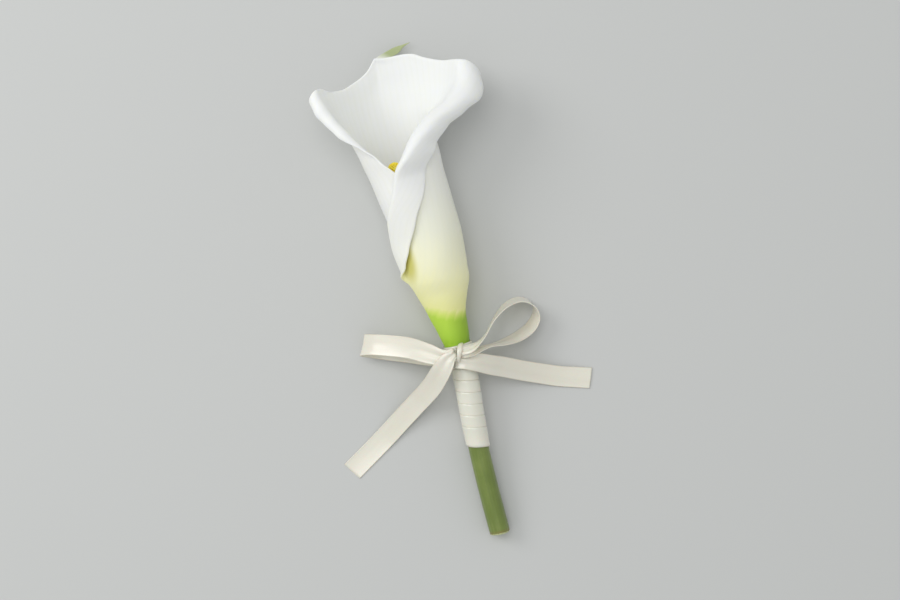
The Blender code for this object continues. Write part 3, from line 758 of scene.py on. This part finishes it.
# ---- the spathe: one leaf, rolled into a funnel, its right margin turned out as a lapel ----
# measures against the distance along the midrib
leaf = {
    "base": 53.0, "rim": 140.5, "fallFrom": 100.0, "fallPower": 1.2,
    "midribRight": [(53, -0.7), (57, -1.0), (61, -1.4), (65, -1.9), (72, -2.0), (78, -2.7),
                    (86, -2.8), (96, -4.2), (105, -5.3), (112, -6.2), (120, -7.1), (130, -7.5),
                    (140.5, -7.1)],
    "midribUp": [(53, 5.2), (58, 4.95), (62, 4.6), (66, 4.05), (70, 3.0), (74, 1.9), (79, 1.0),
                 (88, 0.5), (105, 0.7), (120, 1.6), (132, 3.0), (140.5, 5.0)],
    "leftRadius": [(53, 2.1), (55.5, 2.25), (58, 2.6), (61, 3.1), (65, 3.9), (70, 5.5), (75, 7.2),
                   (80, 8.1), (88, 8.5), (96, 9.1), (105, 9.6), (112, 10.4), (118, 11.2),
                   (130, 15.3), (140.5, 20.8)],
    "leftTurn": [(53, 200), (77, 195), (90, 180), (100, 168), (107, 160), (112, 142), (118, 120),
                 (130, 86), (140.5, 61)],
    "leftEase": [(100, 1.0), (118, 0.85), (130, 0.65), (140.5, 0.6)],
    "lipLength": [(53, 1.0), (110, 1.0), (116, 1.5), (124, 3.2), (140.5, 3.7)],
    "lipTurn": [(53, -20), (70, -8), (110, -5), (116, 50), (124, 150), (140.5, 165)],
    "rightRadius": [(53, 3.15), (55.5, 3.3), (58, 3.8), (61, 4.3), (65, 5.1), (70, 6.7), (75, 8.5),
                    (80, 9.3), (88, 9.8), (96, 10.3), (105, 10.8), (112, 11.6), (117.5, 11.9),
                    (123, 13.2), (127, 17.0), (133, 23), (140.5, 27.5)],
    "rightTurn": [(53, 216), (60, 226), (68, 234), (76, 238), (84, 243), (91.4, 228), (99.6, 201),
                  (107.3, 184), (112, 168), (117.5, 149), (123, 121), (127, 94), (133, 70),
                  (140.5, 54)],
    "foldLength": [(53, 1.2), (75, 1.2), (79, 1.9), (85, 2.6), (91, 3.1), (105, 3.5), (112, 4.6),
                   (118, 5.5), (127, 6.8), (133, 7.6), (140.5, 7.2)],
    "foldTurn": [(53, -22), (65, -14), (75, -9), (79.5, 175), (90, 185), (105, 190), (115, 180),
                 (125, 160), (133, 140), (140.5, 122)],
    "flapLength": [(53, 1.0), (75, 0.8), (77, 0.8), (80, 3.0), (84, 6.0), (91, 8), (98, 8.4),
                   (107, 8), (113, 7.6), (120, 5.5), (128, 2.2), (140.5, 1.2)],
    "flapTurn": [(53, -22), (65, -14), (75, -9), (80, 16), (84, 32), (91, 40), (105, 35),
                 (140.5, 30)],
    # how far the rim falls short of the midrib's tip, against the distance across the leaf
    "fallLeft": [(0, 0), (3, 3.5), (7, 5.8), (12, 7.5), (16, 7.7), (20, 6.7), (22.5, 7.0),
                 (25, 9.0), (28, 12)],
    "fallRight": [(0, 0), (3, 0.5), (8, 0.7), (11, 1.2), (15, 3.3), (21, 5.6), (25, 6.3), (29, 7.4),
                  (32, 9.5), (36, 13), (42, 15)],
    "rows": 132, "leftColumns": (32, 8), "rightColumns": (44, 18, 12),
    "closeToEdge": (0.5, 0.28, 0.13, 0.04),    # rows and columns this near an edge round it over
    "steps": 240, "midribSoft": 0.12,
    "thickBase": 0.9, "thickRim": 0.62, "thinOver": (60, 110), "edgeRound": 0.55,
    "frill": 0.13, "frillOver": (90, 115), "frillWide": 3.2, "rimFrillWide": 5.0,
    "swell": 0.16, "swellOver": (62, 74),
}


# the slope at one point of a measure, level at a peak or dip so that it never overshoots
def slopeAt(points, k):
    rises = [(points[i + 1][1] - points[i][1]) / (points[i + 1][0] - points[i][0])
             for i in range(len(points) - 1)]
    if k in (0, len(points) - 1):
        return rises[min(k, len(rises) - 1)]
    before, after = rises[k - 1], rises[k]
    return 2 * before * after / (before + after) if before * after > 0 else 0.0


# a measure read smoothly between its points
def readAt(points, at):
    if at <= points[0][0]:
        return points[0][1]
    if at >= points[-1][0]:
        return points[-1][1]
    k = max(i for i in range(len(points) - 1) if points[i][0] <= at)
    wide = points[k + 1][0] - points[k][0]
    u = (at - points[k][0]) / wide
    ease = u * u * (3 - 2 * u)
    return (points[k][1] * (1 - ease) + points[k + 1][1] * ease
            + (u ** 3 - 2 * u * u + u) * wide * slopeAt(points, k)
            + (u ** 3 - u * u) * wide * slopeAt(points, k + 1))


# one side of a cross-section, out from the midrib: stretches of (length, turn, ease, columns)
def rollOut(stretches):
    steps = leaf["steps"]
    heading, step, columns, start, reached = [], [], [0.0], 0.0, 0.0
    for k, (length, turn, ease, count) in enumerate(stretches):
        part = (np.arange(steps) + 0.5) / steps
        soft = leaf["midribSoft"]
        bent = ((part + soft) ** ease - soft ** ease) / ((1 + soft) ** ease - soft ** ease)
        heading.append(np.radians(start + turn * bent))
        step.append(np.full(steps, length / steps))
        last = k == len(stretches) - 1
        end = length - leaf["closeToEdge"][0] if last else length
        columns += list(reached + end * np.arange(1, count + 1) / count)
        start += turn
        reached += length
    columns += [reached - gap for gap in leaf["closeToEdge"][1:]] + [reached]
    heading, step = np.concatenate(heading), np.concatenate(step)
    travel = np.concatenate([[0.0], np.cumsum(step)])
    out = np.interp(columns, travel, np.concatenate([[0.0], np.cumsum(np.cos(heading) * step)]))
    up = np.interp(columns, travel, np.concatenate([[0.0], np.cumsum(np.sin(heading) * step)]))
    return out, up, np.array(columns)


# the leaf's middle surface at one distance along: points, distance across, distance to the margin
def leafRow(along):
    at = {name: readAt(points, along) for name, points in leaf.items()
          if isinstance(points, list) and name[:4] != "fall"}
    left = [(at["leftRadius"] * math.radians(at["leftTurn"]), at["leftTurn"], at["leftEase"]),
            (at["lipLength"], -at["lipTurn"], 1.0)]
    right = [(at["rightRadius"] * math.radians(at["rightTurn"]), at["rightTurn"], 1.0),
             (at["foldLength"], -at["foldTurn"], 1.0), (at["flapLength"], -at["flapTurn"], 1.0)]
    risen = max(0.0, (along - leaf["fallFrom"]) / (leaf["rim"] - leaf["fallFrom"]))
    share = risen ** leaf["fallPower"]
    row = []
    for side, stretches, columns, fall in ((-1, left, leaf["leftColumns"], leaf["fallLeft"]),
                                           (1, right, leaf["rightColumns"], leaf["fallRight"])):
        out, up, across = rollOut([(*s, c) for s, c in zip(stretches, columns)])
        part = [(at["midribRight"] + side * out[i], along - share * readAt(fall, across[i]),
                 at["midribUp"] + up[i], side * across[i], across[-1] - across[i])
                for i in range(len(out))]
        row += part[:0:-1] if side < 0 else part
    return row


# a sine over the leaf: radians for each mm along and across, and where it starts
def leafWave(along, across, perAlong, perAcross, start):
    return np.sin(along * perAlong + across * perAcross + start)


# from 0 to 1 over a stretch of the leaf
def fadeIn(along, stretch):
    return np.clip((along - stretch[0]) / (stretch[1] - stretch[0]), 0, 1)


# a closed shell round the middle surface, with what its colours need at every point
def makeLeafMesh():
    body = np.linspace(leaf["base"], leaf["rim"] - leaf["closeToEdge"][0], leaf["rows"])
    alongs = np.concatenate([body, [leaf["rim"] - gap for gap in leaf["closeToEdge"][1:]],
                             [leaf["rim"]]])
    grid = np.array([leafRow(float(a)) for a in alongs])
    points, across, margin = grid[..., :3], grid[..., 3], grid[..., 4]
    along = np.broadcast_to(alongs[:, None], across.shape)
    rimward = leaf["rim"] - along
    edge = np.minimum(margin, rimward)
    face = unit(np.cross(np.gradient(points, axis=1), np.gradient(points, axis=0)))
    # the free margin waves a little, and the whole leaf swells and dips as it grew
    wave = leafWave(along, across, 0.62, 0.0, 0.4) + 0.6 * leafWave(along, across, 1.21, 0.17, 0.0)
    wave += (0.7 * leafWave(along, across, 0.0, 0.45, 1.3)
             * np.exp(-((rimward / leaf["rimFrillWide"]) ** 2)))
    frill = (leaf["frill"] * fadeIn(along, leaf["frillOver"])
             * np.exp(-((edge / leaf["frillWide"]) ** 2)) * wave)
    swell = (leaf["swell"] * fadeIn(along, leaf["swellOver"])
             * leafWave(along, across, 0.21, 0.16, 0.0) * leafWave(along, across, -0.05, 0.27, 1.0))
    points = points + face * (frill + swell)[..., None]
    face = unit(np.cross(np.gradient(points, axis=1), np.gradient(points, axis=0)))
    thinned = (leaf["thickBase"] - leaf["thickRim"]) * fadeIn(along, leaf["thinOver"])
    thick = leaf["thickBase"] - thinned
    near = np.clip(edge / leaf["edgeRound"], 0, 1)
    half = (thick / 2 * np.sqrt(np.clip(1 - (1 - near) ** 2, 0, 1)))[..., None]
    inner, outer = points + face * half, points - face * half
    rows, columns = across.shape
    upper = np.arange(rows * columns).reshape(rows, columns)
    lower = upper + rows * columns
    lower[:, 0], lower[:, -1], lower[-1, :] = upper[:, 0], upper[:, -1], upper[-1, :]
    faces = []
    for j in range(rows - 1):
        for i in range(columns - 1):
            faces.append((upper[j, i], upper[j, i + 1], upper[j + 1, i + 1], upper[j + 1, i]))
            faces.append((lower[j, i], lower[j + 1, i], lower[j + 1, i + 1], lower[j, i + 1]))
    # the base is closed by a strip, whose first and last faces have three corners
    for i in range(columns - 1):
        strip = (lower[0, i], lower[0, i + 1], upper[0, i + 1], upper[0, i])
        faces.append(tuple(dict.fromkeys(strip)))
    everything = np.concatenate([inner.reshape(-1, 3), outer.reshape(-1, 3)])
    facts = {
        "along": np.tile(along.ravel(), 2), "across": np.tile(across.ravel(), 2),
        "inside": np.concatenate([np.ones(across.size), np.zeros(across.size)]),
    }
    return everything, faces, facts


# the green tip that the midrib runs out into: its two edges, right, along, up, from inside the rim
tip = {
    "upper": [(-7.2, 139.4, 4.75), (-6.7, 140.5, 4.7), (-4.2, 141.6, 3.9), (-1.05, 142.75, 2.7),
              (1.6, 143.15, 1.85), (3.8, 143.5, 1.35)],
    "lower": [(-4.7, 139.0, 4.75), (-4.3, 139.9, 4.5), (-2.2, 140.2, 3.5), (0.0, 140.9, 2.6),
              (1.9, 142.5, 1.8), (3.9, 143.38, 1.3)],
    "steps": 8, "columns": 12, "thick": 0.5, "mostOfWidth": 0.3, "cup": 0.35,
    "tintAt": (0.0, 0.3075, 1.0), "tint": (139.5, 142.0, 150.0),    # where its colours are read
}


def makeTipMesh():
    upper, lower = smoothPath(tip["upper"], tip["steps"]), smoothPath(tip["lower"], tip["steps"])
    share = np.linspace(0, 1, tip["columns"])[None, :, None]
    sheet = upper[:, None, :] * (1 - share) + lower[:, None, :] * share
    face = unit(np.cross(np.gradient(sheet, axis=1), np.gradient(sheet, axis=0)))
    rounding = np.sqrt(np.clip(1 - (2 * share - 1) ** 2, 0, 1))
    wide = np.linalg.norm(upper - lower, axis=1)[:, None, None]
    half = np.minimum(tip["thick"] / 2, wide * tip["mostOfWidth"]) * rounding
    sheet = sheet - face * tip["cup"] * np.minimum(wide / 2, 1) * rounding
    rows, columns = sheet.shape[:2]
    top, under = sheet + face * half, (sheet - face * half)[:, ::-1][:, 1:-1]
    ring = np.concatenate([top, under], axis=1)
    count = ring.shape[1]
    tint = np.interp(np.linspace(0, 1, rows), tip["tintAt"], tip["tint"])
    faces = tubeFaces(rows, count) + tubeEnds(rows, count)
    return ring.reshape(-1, 3), faces, np.repeat(tint, count)


# ---- its colours and marks: distances along, across and right in mm, as in the leaf ----
petal = {
    # colours up the outside and up the inside, at distances along in mm
    "outside": [(54, "#a4cf36"), (62.6, "#bcdd4c"), (64.0, "#d8e874"), (65.6, "#f0efa4"),
                (70, "#f7f4ba"), (78, "#f6f4d0"), (88, "#f2f2de"), (100, "#f2f2e8"),
                (114, "#f6f6f2")],
    "inside": [(54, "#d8e28e"), (80, "#f4f4e8"), (100, "#f5f5f0"), (116, "#f4f5f2")],
    # painted light: a whiter colour for the outside's left side, which faces the lamp
    "paintedLightWhite": "#f6f6f1",
    "paintedLightAcross": (-2.0, -9.0), "paintedLightAlong": (66.0, 84.0),
    "tip": "#b3bd8e", "tipAlong": (140.6, 143.5),
    "vein": "#e9ecd8", "veinSpacing": 1.9, "veinTint": 0.1, "veinAlong": (64.0, 80.0),
    # painted shade: a darker yellow-green patch where the lapel's free edge shades the body
    "lapelShade": "#d3ce74", "lapelShadeAt": (-9.2, 81.0, 15.5), "lapelShadeSize": (3.2, 7.5, 7.0),
    "lapelShadeSoft": 0.35,
    "streak": (1.82, 28.6),          # mm across and along
    "boundaryMiddle": 1.4, "boundaryBow": 0.035, "boundaryStreak": 3.0,    # where the green ends
    # painted shade: a darker lime toward the right, away from the lamp, broken by fine streaks
    "shade": "#6d981a", "shadeRight": (-4.0, 3.5), "shadeMost": 0.75,
    "shadeShare": (0.185, 0.135),    # of the way up the outside's colours
    "shadeStreak": (0.6, 1.4),
    "pores": 0.455, "roughness": (0.42, 0.6), "poreDepth": 0.05, "veinDepth": 0.2,    # sizes in mm
}


# calla petal: waxy, thick and slightly see-through, so its colour runs soft at the edges
def makePetalMaterial():
    material, add, shader = startMaterial("waxyCallaPetal", {
        "Subsurface Weight": 0.35, "Subsurface Radius": (1.0, 0.95, 0.7),
        "Subsurface Scale": 0.0012, "Sheen Weight": 0.08, "Sheen Roughness": 0.5,
        "Specular IOR Level": 0.4})
    facts = {name: add("ShaderNodeAttribute", attribute_name=name).outputs["Fac"]
             for name in ("along", "across", "inside")}
    flat = add("ShaderNodeCombineXYZ", {0: facts["across"], 1: facts["along"]})
    stretch = add("ShaderNodeMapping", {
        "Vector": flat, "Scale": (*[1 / size for size in petal["streak"]], 1.0)})
    streak = add("ShaderNodeTexNoise", {"Vector": stretch, "Scale": 1.0, "Detail": 2.5})
    # the green runs higher at the sides than in the middle, and fingers up between the veins
    where = add("ShaderNodeTexCoord").outputs["Object"]
    sideways = add("ShaderNodeSeparateXYZ", {0: where}).outputs["X"]
    shifted = add("ShaderNodeMath", {
        0: sideways, 1: 1 / mm, 2: middle[0] - petal["boundaryMiddle"]}, operation="MULTIPLY_ADD")
    squared = add("ShaderNodeMath", {0: shifted, 1: 2.0}, operation="POWER")
    bowed = add("ShaderNodeMath", {0: squared, 1: -petal["boundaryBow"], 2: facts["along"]},
                operation="MULTIPLY_ADD")
    level = add("ShaderNodeMath", {0: streak.outputs["Fac"], 1: petal["boundaryStreak"], 2: bowed},
                operation="MULTIPLY_ADD")
    low, high = petal["outside"][0][0], petal["outside"][-1][0]
    shift = petal["boundaryStreak"] / 2
    outAt = add("ShaderNodeMapRange", {
        "Value": level, "From Min": low + shift, "From Max": high + shift})
    outside = add("ShaderNodeValToRGB", {"Fac": outAt},
                  [((a - low) / (high - low), c) for a, c in petal["outside"]])
    low, high = petal["inside"][0][0], petal["inside"][-1][0]
    inAt = add("ShaderNodeMapRange", {"Value": facts["along"], "From Min": low, "From Max": high})
    inside = add("ShaderNodeValToRGB", {"Fac": inAt},
                 [((a - low) / (high - low), c) for a, c in petal["inside"]])
    # painted shade: the lime is darker to the right, the side away from the lamp; fine streaks, the
    # lime's own tone, vary it
    rightSideShade = add("ShaderNodeMapRange", {
        "Value": shifted, **fromRange(petal["shadeRight"]), "To Max": petal["shadeMost"]})
    fresh = add("ShaderNodeMapRange", {"Value": outAt, **fromRange(petal["shadeShare"])})
    fine = add("ShaderNodeMapRange", {"Value": streak.outputs["Fac"],
                                      **toRange(petal["shadeStreak"])})
    lime = add("ShaderNodeMath", {0: rightSideShade, 1: fresh}, operation="MULTIPLY")
    deep = add("ShaderNodeMath", {0: lime, 1: fine}, operation="MULTIPLY")
    limeWithShade = add("ShaderNodeMix", {0: deep, 6: outside, 7: hexColour(petal["shade"])},
                data_type="RGBA")
    # painted light: the left side of the outside, which faces the lamp, is painted whiter
    leftward = add("ShaderNodeMapRange", {
        "Value": facts["across"], **fromRange(petal["paintedLightAcross"])},
        interpolation_type="SMOOTHSTEP")
    upward = add("ShaderNodeMapRange", {
        "Value": facts["along"], **fromRange(petal["paintedLightAlong"])}, interpolation_type="SMOOTHSTEP")
    paintedLightMask = add("ShaderNodeMath", {0: leftward, 1: upward}, operation="MULTIPLY")
    withPaintedLight = add("ShaderNodeMix", {
        0: paintedLightMask, 6: limeWithShade.outputs[2], 7: hexColour(petal["paintedLightWhite"])}, data_type="RGBA")
    tissue = add("ShaderNodeMix", {0: facts["inside"], 6: withPaintedLight.outputs[2], 7: inside},
                 data_type="RGBA")
    # parallel veins, waved by the growth
    veins = add("ShaderNodeTexWave", {
        "Vector": flat, "Scale": waveScale(petal["veinSpacing"]), "Distortion": 2.2,
        "Detail": 2.0, "Detail Scale": 0.25}, bands_direction="X")
    faint = add("ShaderNodeMapRange", {
        "Value": veins.outputs["Fac"], "From Min": 0.5, "To Max": petal["veinTint"]})
    grown = add("ShaderNodeMapRange", {"Value": facts["along"], **fromRange(petal["veinAlong"])})
    shown = add("ShaderNodeMath", {0: faint, 1: grown}, operation="MULTIPLY")
    veined = add("ShaderNodeMix", {0: shown, 6: tissue.outputs[2], 7: hexColour(petal["vein"])},
                 data_type="RGBA")
    # painted shade: a darker yellow-green patch on the outside, where the lapel's free edge first
    # turns out and shades the body
    centre = place(petal["lapelShadeAt"])
    spread = [1 / (s * mm) for s in petal["lapelShadeSize"]]
    offset = add("ShaderNodeVectorMath", {0: where, 1: centre}, operation="SUBTRACT")
    scaled = add("ShaderNodeVectorMath", {0: offset, 1: spread}, operation="MULTIPLY")
    far = add("ShaderNodeVectorMath", {0: scaled}, operation="LENGTH")
    lapelShadeFalloff = add("ShaderNodeMapRange", {
        "Value": far.outputs["Value"], "From Min": 1.0, "From Max": petal["lapelShadeSoft"]},
        interpolation_type="SMOOTHSTEP")
    outward = add("ShaderNodeMath", {0: 1.0, 1: facts["inside"]}, operation="SUBTRACT")
    lapelShade = add("ShaderNodeMath", {0: lapelShadeFalloff, 1: outward}, operation="MULTIPLY")
    withLapelShade = add("ShaderNodeMix", {0: lapelShade, 6: veined.outputs[2], 7: hexColour(petal["lapelShade"])},
               data_type="RGBA")
    pointed = add("ShaderNodeMapRange", {"Value": facts["along"], **fromRange(petal["tipAlong"])})
    whole = add("ShaderNodeMix", {0: pointed, 6: withLapelShade.outputs[2], 7: hexColour(petal["tip"])},
                data_type="RGBA")
    skin = add("ShaderNodeTexNoise", {"Vector": where, "Scale": grainScale(petal["pores"]),
                                      "Detail": 3.0})
    gloss = add("ShaderNodeMapRange", {"Value": skin.outputs["Fac"], **toRange(petal["roughness"])})
    ridges = add("ShaderNodeBump", {"Height": veins.outputs["Fac"], "Strength": 0.05,
                                    "Distance": petal["veinDepth"] * mm})
    relief = add("ShaderNodeBump", {"Height": skin.outputs["Fac"], "Strength": 0.1,
                                    "Distance": petal["poreDepth"] * mm, "Normal": ridges})
    wire(shader, {"Base Color": whole.outputs[2], "Roughness": gloss, "Normal": relief})
    return material


def dropLoose(mesh, used):
    work = bmesh.new()
    work.from_mesh(mesh)
    work.verts.ensure_lookup_table()
    bmesh.ops.delete(work, geom=[work.verts[i] for i in np.nonzero(~used)[0]], context="VERTS")
    work.to_mesh(mesh)
    work.free()


def makeSpathe():
    points, faces, facts = makeLeafMesh()
    tipPoints, tipFaces, tint = makeTipMesh()
    shift = len(points)
    points = np.concatenate([points, tipPoints])
    faces += [tuple(i + shift for i in f) for f in tipFaces]
    count = len(tipPoints)
    extra = {"along": tint, "across": np.zeros(count), "inside": np.zeros(count)}
    mesh = bpy.data.meshes.new("spathe_petal")
    mesh.from_pydata([place(p) for p in points], [], [tuple(int(i) for i in f) for f in faces])
    for name, values in facts.items():
        layer = mesh.attributes.new(name, "FLOAT", "POINT")
        layer.data.foreach_set("value", np.concatenate([values, extra[name]]).astype(np.float32))
    # the outer face shares the inner one's margin, so its own points there are loose
    used = np.zeros(len(points), bool)
    used[[i for f in faces for i in f]] = True
    dropLoose(mesh, used)
    piece = standFor(makePiece("spathe_petal", mesh, makePetalMaterial()), "spathe")
    print("spathe has", len(piece.data.polygons), "faces")


makeSpathe()
